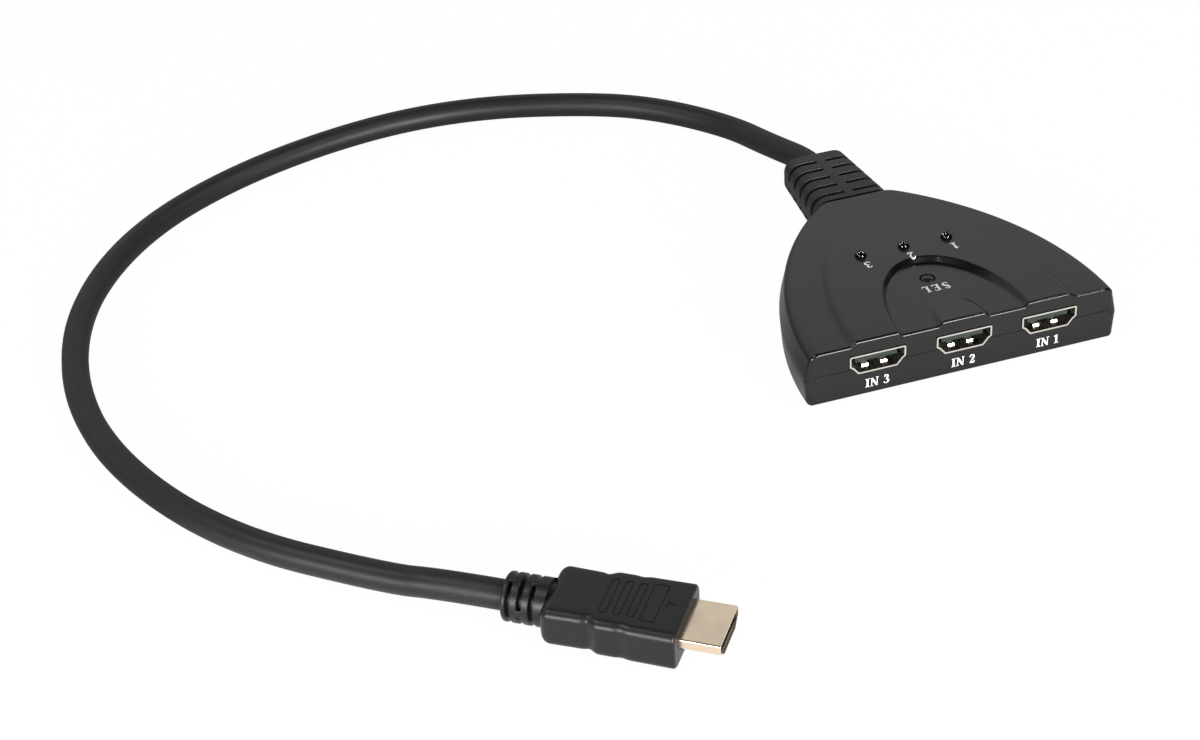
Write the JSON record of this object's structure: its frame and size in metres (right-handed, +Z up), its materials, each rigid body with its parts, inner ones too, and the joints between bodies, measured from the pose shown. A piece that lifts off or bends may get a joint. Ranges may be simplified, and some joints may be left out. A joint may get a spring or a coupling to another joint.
{
  "type": "hdmi switch box",
  "caption": "Flat shield-shaped video switch box: input sockets in a row, select button, indicator lamps, and a short captive lead to a gold plug.",
  "frame": {"origin": "bottom centre of the box with its strain relief, measured without the free lead and its plug", "axes": "+X along the row of sockets towards socket 1, +Y from the sockets to the lead's exit, +Z up from the face it rests on"},
  "size_m": [0.2558, 0.2645, 0.0172],
  "materials": {
    "housing": "charcoal moulded plastic, satin",
    "circuit_board": "green solder mask",
    "socket_steel": "plated pressed steel",
    "connector_plastic": "black moulded connector plastic",
    "contact_plating": "gold-plated contacts",
    "button": "dark grey plastic",
    "switch_plastic": "black",
    "switch_metal": "tinned sheet",
    "lamp_resin": "smoked clear resin",
    "tinned_leads": "tinned",
    "chip_resin": "black moulded resin",
    "ceramic": "ceramic with tinned ends",
    "lead_jacket": "matt black soft jacket",
    "boot_rubber": "dark grey soft moulding",
    "plug_moulding": "black moulding with a fine texture",
    "inner_moulding": "hard white inner moulding",
    "wire_insulation": "coloured wire insulation",
    "plug_gold": "gold-plated shell",
    "screw_steel": "blackened steel"
  },
  "bodies": {
    "root": {"top_cover": "housing", "bottom_cover": "housing", "circuit_board": "circuit_board", "port_1_shell": "socket_steel", "port_2_shell": "socket_steel", "port_3_shell": "socket_steel", "port_1_insulator": "connector_plastic", "port_2_insulator": "connector_plastic", "port_3_insulator": "connector_plastic", "plug_insulator": "connector_plastic", "port_1_contacts": "contact_plating", "port_2_contacts": "contact_plating", "port_3_contacts": "contact_plating", "plug_contacts": "contact_plating", "tact_switch_housing": "switch_plastic", "tact_switch_cover": "switch_metal", "tact_switch_legs": "switch_metal", "led_1": "lamp_resin", "led_2": "lamp_resin", "led_3": "lamp_resin", "led_leads": "tinned_leads", "switch_chip_legs": "tinned_leads", "control_chip_legs": "tinned_leads", "switch_chip": "chip_resin", "control_chip": "chip_resin", "chip_capacitors": "ceramic", "chip_resistors": "ceramic", "cable": "lead_jacket", "cable_tail": "lead_jacket", "plug_cable_tail": "lead_jacket", "cable_boot": "boot_rubber", "plug_overmould": "plug_moulding", "plug_inner_mould": "inner_moulding", "cable_wires": "wire_insulation", "plug_shell": "plug_gold", "housing_screws": "screw_steel"},
    "select_button": {"select_button": "button"},
    "switch_plunger": {"tact_switch_plunger": "switch_plastic"}
  },
  "joints": [
    {"name": "select_button_press", "type": "slide", "parent": "root", "child": "select_button", "axis": [0, 0, -1], "range_m": [0, 0.00025], "stiffness_N_per_m": 600},
    {"name": "switch_plunger_press", "type": "slide", "parent": "root", "child": "switch_plunger", "axis": [0, 0, -1], "range_m": [0, 0.00025]}
  ],
  "couplings": [
    {"joint": "switch_plunger_press", "follows": "select_button_press", "ratio": 1}
  ]
}
